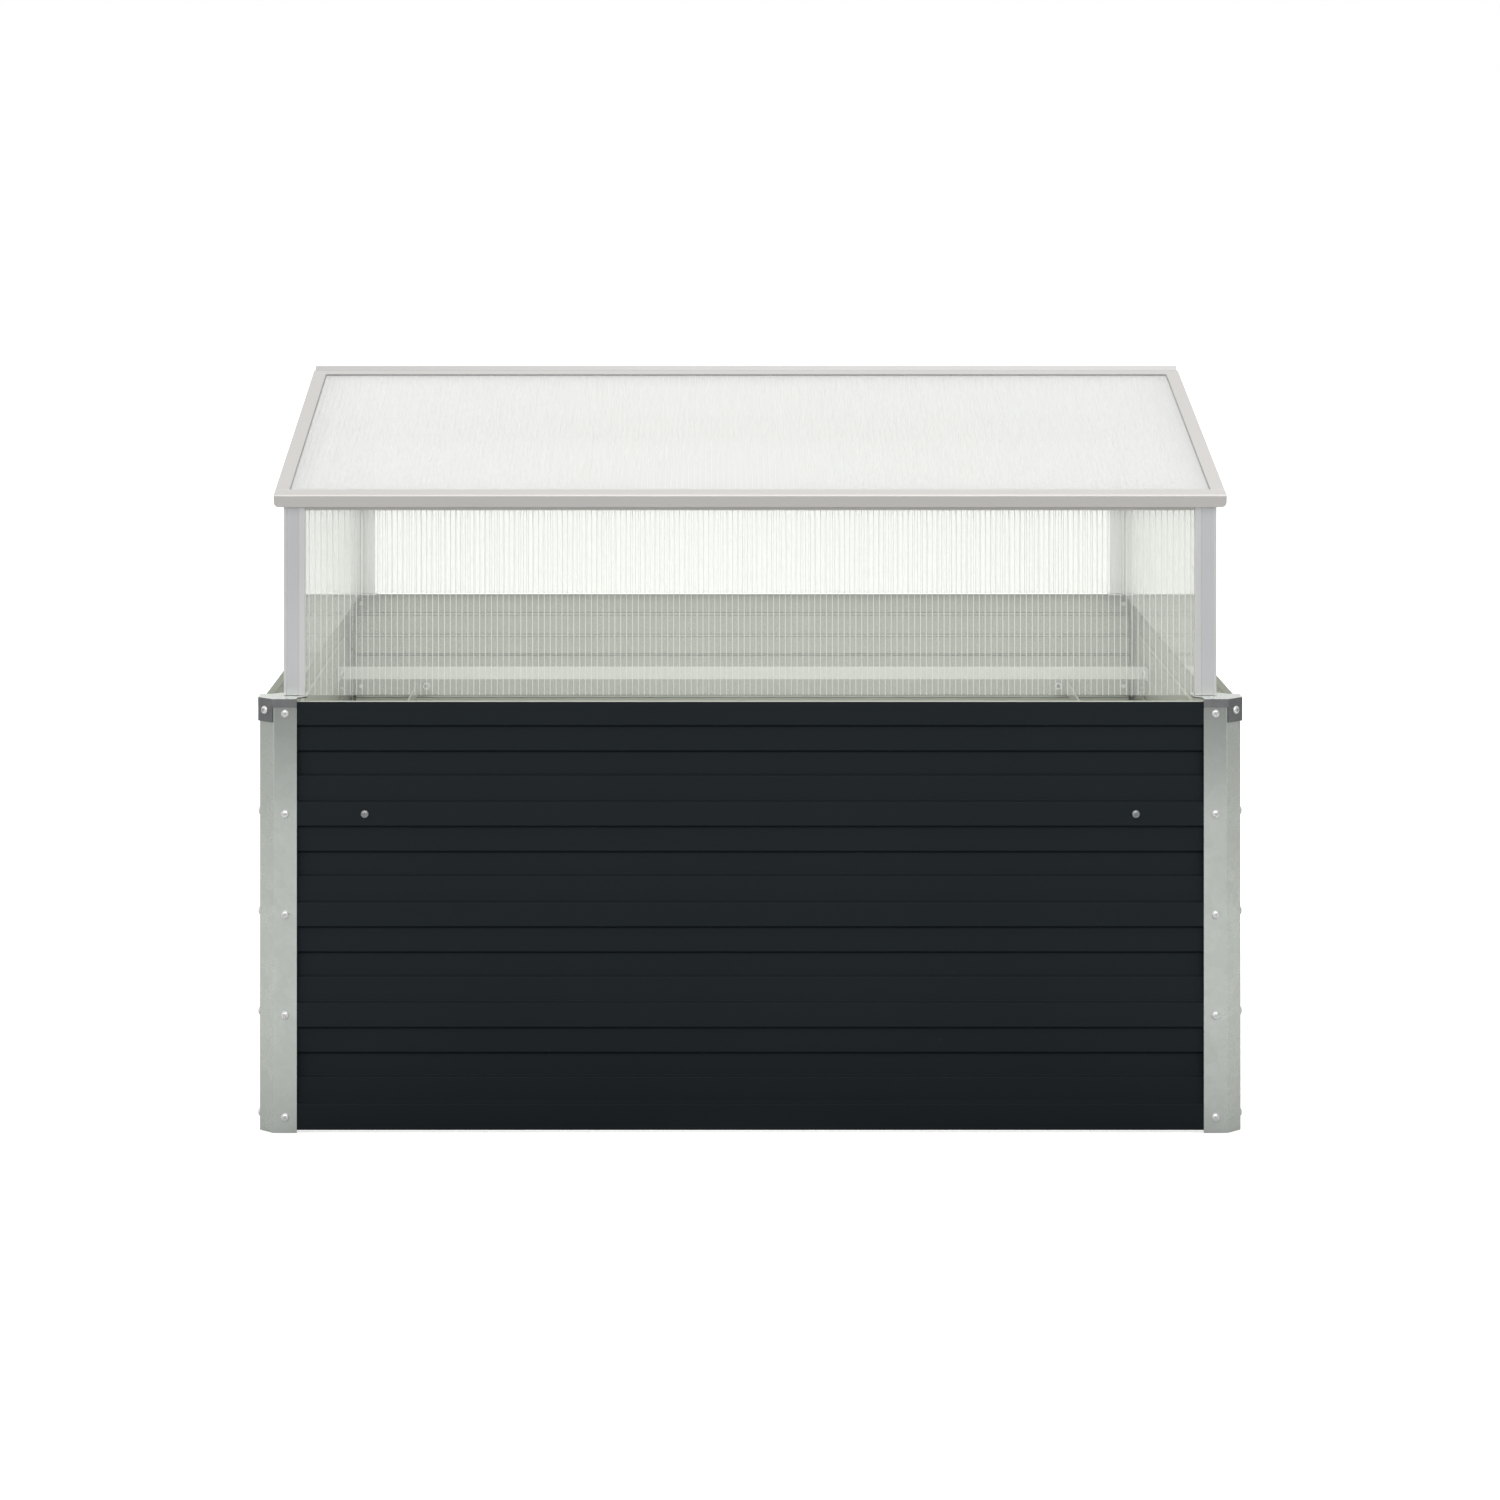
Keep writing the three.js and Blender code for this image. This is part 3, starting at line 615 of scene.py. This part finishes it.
def screw_mesh():
    """A domed head with a cross recess on a plain shank. The head points along +Z from z = 0."""
    profile = [(0, -SHANK_LENGTH), (SHANK_RADIUS, -SHANK_LENGTH), (SHANK_RADIUS, 0)]
    for k in range(DOME_STEPS):
        angle = math.pi / 2 * k / DOME_STEPS
        profile.append((HEAD_RADIUS * math.cos(angle) ** DOME_SQUARENESS, HEAD_HEIGHT * math.sin(angle)))
    profile.append((0, HEAD_HEIGHT))
    bm = lathed(profile, ROUND_SEGMENTS)
    smooth_by_angle(bm, DOME_SHADE)
    blank = linked("screw_blank", mesh_from(bm, "screw_blank"))
    tool = linked("recess", recess_mesh())

    cut = blank.modifiers.new("recess", "BOOLEAN")
    cut.operation = "DIFFERENCE"
    cut.solver = "EXACT"
    cut.use_self = True
    cut.object = tool
    depsgraph = bpy.context.evaluated_depsgraph_get()
    final = bpy.data.meshes.new_from_object(blank.evaluated_get(depsgraph))
    bpy.data.objects.remove(blank)
    bpy.data.objects.remove(tool)
    final.materials.clear()
    return final


def nut_mesh():
    """A hexagon nut with a round hole. It reaches from its seat at z = 0 towards -Z."""
    bm = bmesh.new()
    hole = SHANK_RADIUS + NUT_CLEAR
    sixth = math.tau / 6
    columns = []
    for k in range(NUT_SEGMENTS):
        angle = math.tau * k / NUT_SEGMENTS
        outer = NUT_FLATS / 2 / math.cos(angle % sixth - sixth / 2)
        loop = ((hole, 0), (outer, 0), (outer, -NUT_HEIGHT), (hole, -NUT_HEIGHT))
        columns.append([bm.verts.new((r * math.cos(angle), r * math.sin(angle), z)) for r, z in loop])
    for this, following in zip(columns, columns[1:] + columns[:1]):
        for k in range(len(this)):
            n = (k + 1) % len(this)
            bm.faces.new((this[k], this[n], following[n], following[k]))
    bmesh.ops.recalc_face_normals(bm, faces=bm.faces)
    round_off(bm, SHARP, math.pi, NUT_ROUNDING, segments=2)
    smooth_by_angle(bm, SHARP)
    return mesh_from(bm, "nut")


def joined_copies(name, mesh, placements, material):
    """One piece made of a copy of mesh at each placement."""
    bm = bmesh.new()
    for placement in placements:
        part = mesh.copy()
        part.transform(placement)
        bm.from_mesh(part)
        bpy.data.meshes.remove(part)
    return linked(name, mesh_from(bm, name), material)


def facing(point, direction, spin=0.0):
    """Puts a screw's seat at point with its head towards direction, turned by spin."""
    turn = Vector(direction).to_track_quat("Z", "Y").to_matrix().to_4x4()
    return Matrix.Translation(point) @ turn @ Matrix.Rotation(spin, 4, "Z")


def crest_heights():
    """The heights of the panel crests' middles. The lowest crest runs on down to the bottom edge."""
    low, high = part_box("front_wall_panel")
    tops = [high.z - k * CREST_PITCH for k in reversed(range(CREST_COUNT))]
    return [(low.z + tops[0]) / 2] + [top - CREST_HEIGHT / 2 for top in tops[1:]]


def build_flange_screws(screw):
    """A row of screws down each of the two flanges of every corner post, one on each crest."""
    post_low, post_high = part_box("front_left_corner_post")
    edge = abs(post_low.y)
    place = (abs(post_high.x) + edge - POST_CUT) / 2
    turned = 0
    for quarter, corner in enumerate(CORNERS):
        corner_turn = Matrix.Rotation(quarter * math.pi / 2, 4, "Z")
        for label, x, y, direction in (
            ("first", -place, -edge, (0, -1, 0)),
            ("second", -edge, -place, (-1, 0, 0)),
        ):
            placements = []
            for z in crest_heights():
                turned += 1
                placements.append(corner_turn @ facing((x, y, z), direction, turned * SCREW_TURN))
            row = joined_copies(f"{corner}_{label}_flange_screws", screw, placements, ZINC)
            settle(row, "bed")
    return turned


def outward_direction(node, middle):
    """The way a CAD screw's head looks: square to a wall, or out along the diagonal of a corner."""
    if "tie_screw" in node:
        return Vector(OUTWARD[node.split("_")[0]])
    return Vector((math.copysign(1, middle.x), math.copysign(1, middle.y), 0)).normalized()


def build_cad_screws(screw, turned):
    """A fine screw for each screw of the CAD, and a nut behind each one that holds a tie bar."""
    nut = nut_mesh()
    for node in nodes:
        if not node.endswith(("_bracket_screw", "_tie_screw_left", "_tie_screw_right")):
            continue
        low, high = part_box(node)
        middle = (low + high) / 2
        direction = outward_direction(node, middle)
        reach = max(v.co.dot(direction) for v in nodes[node].data.vertices)
        seat = middle + direction * (reach - HEAD_HEIGHT - middle.dot(direction))
        turned += 1
        placement = facing(seat, direction, turned * SCREW_TURN)
        if node.endswith("_bracket_screw"):
            stand_in(joined_copies(node + "_formed", screw, [placement], ZINC), node)
            continue
        stand_in(joined_copies(node + "_formed", screw, [placement], BOLT), node)
        nut_place = facing(seat - direction * NUT_SEAT, direction, turned * SCREW_TURN)
        nut_piece = joined_copies(node.replace("screw", "nut"), nut, [nut_place], ZINC)
        settle(nut_piece, node_bodies[node])


# ---------------------------------------------------------------- glazed top

FLUTE_DEPTH = 1.0 * MM  # of the shallow flute down each face of a frame post
FLUTE_ROOM = 0.3 * MM  # how far a face may lie from that depth and still be the flute's floor


def flute_pick(normal, middle):
    """1 for the floor of the shallow flute down each face of a frame post, 2 for inner sides, else 0."""
    if lies_inside(normal, middle):
        return 2
    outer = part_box("front_left_frame_post")[0]
    depth = min(abs(abs(outer.x) - abs(middle.x)), abs(abs(outer.y) - abs(middle.y)))
    return 1 if abs(depth - FLUTE_DEPTH) < FLUTE_ROOM else 0


def build_fixed_top():
    for corner in CORNERS:
        formed(corner + "_frame_post", BAR_EDGE, POST_METAL, FLUTE_METAL, POST_INSIDE, pick=flute_pick)
    for lid in LIDS:
        formed(lid + "_eave_rail", RAIL_EDGE, BAR_METAL["X"])
        for side in ("left", "right"):
            formed(f"{lid}_{side}_gable_rail", BAR_EDGE, BAR_METAL["Y"])
    formed("ridge_beam", RAIL_EDGE, RIDGE_METAL)


def grooved_sheet(node, start, stop, flute_ends, depth, place, skin):
    """Twin-wall sheet as a solid with an open cell between each pair of ribs. It replaces the node.

    start and stop bound the sheet across its flutes. flute_ends gives the two ends of the flute at a
    place across, and place puts (across, through, along) into the row frame."""
    count = round((stop - start) / FLUTE_PITCH)
    pitch = (stop - start - RIB_THICKNESS) / count
    levels = (0.0, SKIN_THICKNESS, depth - SKIN_THICKNESS, depth)
    across = [start + k * pitch + side for k in range(count + 1) for side in (0.0, RIB_THICKNESS)]
    bm = bmesh.new()
    grid = {}
    for i, x in enumerate(across):
        for j, level in enumerate(levels):
            for end, along in enumerate(flute_ends(x)):
                grid[i, j, end] = bm.verts.new(place(x, level, along))

    def quad(a, b, c, d, material):
        face = bm.faces.new([grid[key] for key in (a, b, c, d)])
        face.material_index = material

    skin_face, inside_face, rib_face = range(3)
    for i in range(len(across) - 1):
        in_rib = i % 2 == 0
        for j in (0, 3):
            quad((i, j, 0), (i + 1, j, 0), (i + 1, j, 1), (i, j, 1), rib_face if in_rib else skin_face)
        layers = (0, 1, 2) if in_rib else (0, 2)
        for j in layers:
            for end in (0, 1):
                quad((i, j, end), (i + 1, j, end), (i + 1, j + 1, end), (i, j + 1, end), rib_face)
        if not in_rib:
            for j in (1, 2):
                quad((i, j, 0), (i + 1, j, 0), (i + 1, j, 1), (i, j, 1), inside_face)
            for side in (i, i + 1):
                quad((side, 1, 0), (side, 2, 0), (side, 2, 1), (side, 1, 1), rib_face)
    for side in (0, len(across) - 1):
        for j in range(3):
            quad((side, j, 0), (side, j + 1, 0), (side, j + 1, 1), (side, j, 1), rib_face)
    bmesh.ops.recalc_face_normals(bm, faces=bm.faces)
    name = node + "_fluted"
    stand_in(linked(name, mesh_from(bm, name), skin, INSIDE, RIB), node)


def build_wall_pane(node):
    low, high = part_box(node)

    def place(across, through, along):
        return (across, low.y + through, along)

    def flute_ends(across):
        return low.z, high.z

    grooved_sheet(node, low.x, high.x, flute_ends, high.y - low.y, place, WALL_SKIN)


def build_gable_pane(node):
    low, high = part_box(node)
    outline = [v.co for v in nodes[node].data.vertices]
    corner_height = max(co.z for co in outline if co.y < low.y + TOUCH)
    crown_half = max(co.y for co in outline if co.z > high.z - TOUCH)
    rise = (high.z - corner_height) / (high.y - crown_half)

    def place(across, through, along):
        return (low.x + through, across, along)

    def flute_ends(across):
        return low.z, high.z - max(0.0, abs(across) - crown_half) * rise

    grooved_sheet(node, low.y, high.y, flute_ends, high.x - low.x, place, GABLE_SKIN)


PANE_THICKEST = 5 * MM  # corners further apart than this lie at different ends of a pane


def build_lid_pane(lid):
    """The sloping pane of a lid, laid out from its lower left edge, and the strip of painted shade on top
    of it.
    """
    node = lid + "_lid_pane"
    left = [v.co.copy() for v in nodes[node].data.vertices if v.co.x < 0]
    lower = min(left, key=lambda co: co.z)
    upper = min((co for co in left if (co - lower).length > PANE_THICKEST), key=lambda co: co.z)
    slope = (upper - lower).normalized()
    square = Vector((1, 0, 0)).cross(slope)
    if square.z < 0:
        square = -square
    thickness = max((co - lower).dot(square) for co in left)
    length = (upper - lower).length

    def place(across, through, along):
        return Vector((across, lower.y, lower.z)) + square * through + slope * along

    def flute_ends(across):
        return 0.0, length

    grooved_sheet(node, lower.x, -lower.x, flute_ends, thickness, place, LID_SKIN)
    build_lid_shade_strip(lid, place, thickness, length)


# Size of the dark strip of painted shade that lies on each lid pane along its bars.
SHADE_STRIP_HEIGHT = 1.0 * MM
SHADE_STRIP_WIDTH = 0.8 * MM
SHADE_STRIP_WIDTH_TOP = 2.0 * MM
SHADE_STRIP_CLEAR = 0.05 * MM


def build_lid_shade_strip(lid, place, thickness, length):
    """A dark strip on the pane against the top bar and the two side bars: painted shade where the bars'
    lips shade the pane.
    """
    bar_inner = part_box(lid + "_lid_right_bar")[0].x
    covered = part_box(lid + "_lid_pane")[1].x - bar_inner
    bottom = covered + SHADE_STRIP_CLEAR
    top = length - covered - SHADE_STRIP_CLEAR
    edge = bar_inner - SHADE_STRIP_CLEAR
    bm = bmesh.new()

    def strip(x0, x1, y0, y1):
        corners = [
            bm.verts.new(place(x, level, y))
            for level in (thickness + SHADE_STRIP_CLEAR, thickness + SHADE_STRIP_HEIGHT)
            for x, y in ((x0, y0), (x1, y0), (x1, y1), (x0, y1))
        ]
        bm.faces.new(corners[:4])
        bm.faces.new(corners[4:])
        for k in range(4):
            n = (k + 1) % 4
            bm.faces.new((corners[k], corners[n], corners[4 + n], corners[4 + k]))

    strip(-edge, edge, top - SHADE_STRIP_WIDTH_TOP, top)
    for side in (-1, 1):
        strip(side * edge, side * (edge - SHADE_STRIP_WIDTH), bottom, top - SHADE_STRIP_WIDTH_TOP - SHADE_STRIP_CLEAR)
    bmesh.ops.recalc_face_normals(bm, faces=bm.faces)
    name = lid + "_lid_shade_strip"
    settle(linked(name, mesh_from(bm, name), SHADE_STRIP), lid + "_lid")


def build_panes():
    for lid in LIDS:
        build_wall_pane(lid + "_wall_pane")
        build_lid_pane(lid)
    for side in ("left", "right"):
        build_gable_pane(side + "_gable_pane")


def build_lid_bars():
    for lid in LIDS:
        for bar in ("top_bar", "eave_bar"):
            formed(f"{lid}_lid_{bar}", LID_BAR_EDGE, BAR_METAL["X"])
        for side in ("left", "right"):
            formed(f"{lid}_lid_{side}_bar", LID_BAR_EDGE, BAR_METAL["Y"])
        formed(lid + "_stay", BAR_EDGE, ZINC)
        formed(lid + "_stay_bracket", BAR_EDGE, ZINC)


# ---------------------------------------------------------------- stage

FLOOR_REACH = 300.0
FLOOR_GAP = 0.5 * MM
FLOOR_GLOW = 0.62  # lifts the floor that is seen to the white of the room
SEEN_TONE = 0.75
BED_POOL_TONE = 0.92  # tones of the floor that only lights the object, painted light and shade: a bright pool inside the bed, a shadow ring round it, then outwards
NEAR_SHADOW_TONE = 0.42
MIDDLE_TONE = 0.56
FAR_TONE = 0.22
BED_TO_NEAR = (0.48, 0.54)  # where each tone turns into the next, from the middle
NEAR_TO_MIDDLE = (0.54, 1.4)
MIDDLE_TO_FAR = (2.0, 4.0)


def floor_finish():
    """A pale matt floor with an even white glow. What it throws back on the object varies with distance:
    painted light in a bright pool inside the bed and a painted shadow round it.
    """
    r = Recipe("pale_floor")
    seen = seen_ray(r)
    away = r.vector_math("LENGTH", r.place).outputs["Value"]

    def outwards(between, inner, outer):
        start, end = between
        return r.blend(r.span(away, low=0.0, high=1.0, start=start, end=end), inner, outer)

    near = outwards(BED_TO_NEAR, grey(BED_POOL_TONE), grey(NEAR_SHADOW_TONE))
    middle = outwards(NEAR_TO_MIDDLE, near, grey(MIDDLE_TONE))
    thrown = outwards(MIDDLE_TO_FAR, middle, grey(FAR_TONE))
    matt = r.principled(r.blend(seen, thrown, grey(SEEN_TONE)), roughness=0.9, specular=0.0)
    glow = r.shader("ShaderNodeEmission", Color=grey(1.0), Strength=r.math("MULTIPLY", seen, FLOOR_GLOW))
    both = r.node("ShaderNodeAddShader")
    r.feed(both.inputs[0], matt)
    r.feed(both.inputs[1], glow)
    return r.done(both.outputs[0])


def build_stage():
    bm = bmesh.new()
    bmesh.ops.create_grid(bm, x_segments=1, y_segments=1, size=FLOOR_REACH)
    floor = linked("floor", mesh_from(bm, "floor"), floor_finish())
    floor.location.z = cad_low.z - FLOOR_GAP


# ---------------------------------------------------------------- light

ROOM_LEVEL = 0.60
ROOM_LEAN = (-0.22, 0.28, 0.14)  # brighter to the left, behind and above
ROOM_SOFT = 0.35  # how much more light the room gives to matt surfaces than to shiny ones


def build_room():
    """A white room where it is seen, and a grey one that leans to one side where it only gives light."""
    world = bpy.data.worlds.new("studio")
    world.use_nodes = True
    kit = NodeKit(world.node_tree)
    direction = kit.node("ShaderNodeTexCoord").outputs["Generated"]
    lean = kit.vector_math("DOT_PRODUCT", direction, ROOM_LEAN).outputs["Value"]
    matt = kit.node("ShaderNodeLightPath").outputs["Is Diffuse Ray"]
    level = kit.math("ADD", kit.math("ADD", lean, ROOM_LEVEL), kit.math("MULTIPLY", matt, ROOM_SOFT))
    room = kit.shader("ShaderNodeBackground", Color=grey(1.0), Strength=level)
    white = kit.shader("ShaderNodeBackground", Color=grey(1.0))
    output = kit.node("ShaderNodeOutputWorld")
    kit.feed(output.inputs["Surface"], kit.mixed(seen_ray(kit), room, white))
    scene.world = world


def build_softbox(name, place, target, size, watts):
    light = bpy.data.lights.new(name, "AREA")
    light.shape = "RECTANGLE"
    light.size, light.size_y = size
    light.energy = watts
    lamp = bpy.data.objects.new(name, light)
    lamp.location = place
    lamp.rotation_euler = (Vector(target) - Vector(place)).to_track_quat("-Z", "Y").to_euler()
    scene.collection.objects.link(lamp)


def build_light():
    build_room()
    build_softbox("key", place=(0.1, -4.2, 3.2), target=(0, 0, 0.4), size=(5.6, 3.8), watts=108)
    build_softbox("top", place=(0.6, 0.2, 3.4), target=(0, 0, 0.5), size=(2.4, 2.4), watts=17)


# ---------------------------------------------------------------- camera and picture

SENSOR = 36.0  # millimetres, as is the lens
LENS = 106.27
CAMERA_PLACE = Vector((-0.045, -5.0, 1.0447))
LENS_SHIFT = {"shift_x": 0.0293, "shift_y": -0.43}
SHIFT_ROOM = 0.5 * MM  # how far the camera may move before it counts as moved


def build_camera():
    """A level camera in front of the bed, whose lens is shifted down only while it stands there."""
    data = bpy.data.cameras.new("camera")
    data.sensor_width = SENSOR
    data.lens = LENS
    camera = bpy.data.objects.new("camera", data)
    camera.location = CAMERA_PLACE
    camera.rotation_euler = (math.pi / 2, 0, 0)
    scene.collection.objects.link(camera)
    scene.camera = camera
    for name, value in LENS_SHIFT.items():
        driver = data.driver_add(name).driver
        variable = driver.variables.new()
        variable.name = "y"
        variable.type = "TRANSFORMS"
        variable.targets[0].id = camera
        variable.targets[0].transform_type = "LOC_Y"
        variable.targets[0].transform_space = "WORLD_SPACE"
        near = f"(y > {CAMERA_PLACE.y - SHIFT_ROOM}) * (y < {CAMERA_PLACE.y + SHIFT_ROOM})"
        driver.expression = f"{value} * {near}"


def set_picture():
    scene.view_settings.view_transform = "Standard"
    scene.view_settings.look = "None"
    scene.cycles.max_bounces = 16
    scene.cycles.diffuse_bounces = 4
    scene.cycles.glossy_bounces = 6
    scene.cycles.transmission_bounces = 16
    scene.cycles.transparent_max_bounces = 64
    scene.cycles.caustics_reflective = False
    scene.cycles.caustics_refractive = False
    scene.cycles.use_denoising = True


build_bed()
fine_screw = screw_mesh()
screws_turned = build_flange_screws(fine_screw)
build_cad_screws(fine_screw, screws_turned)
build_fixed_top()
build_panes()
build_lid_bars()
build_stage()
build_light()
build_camera()
set_picture()
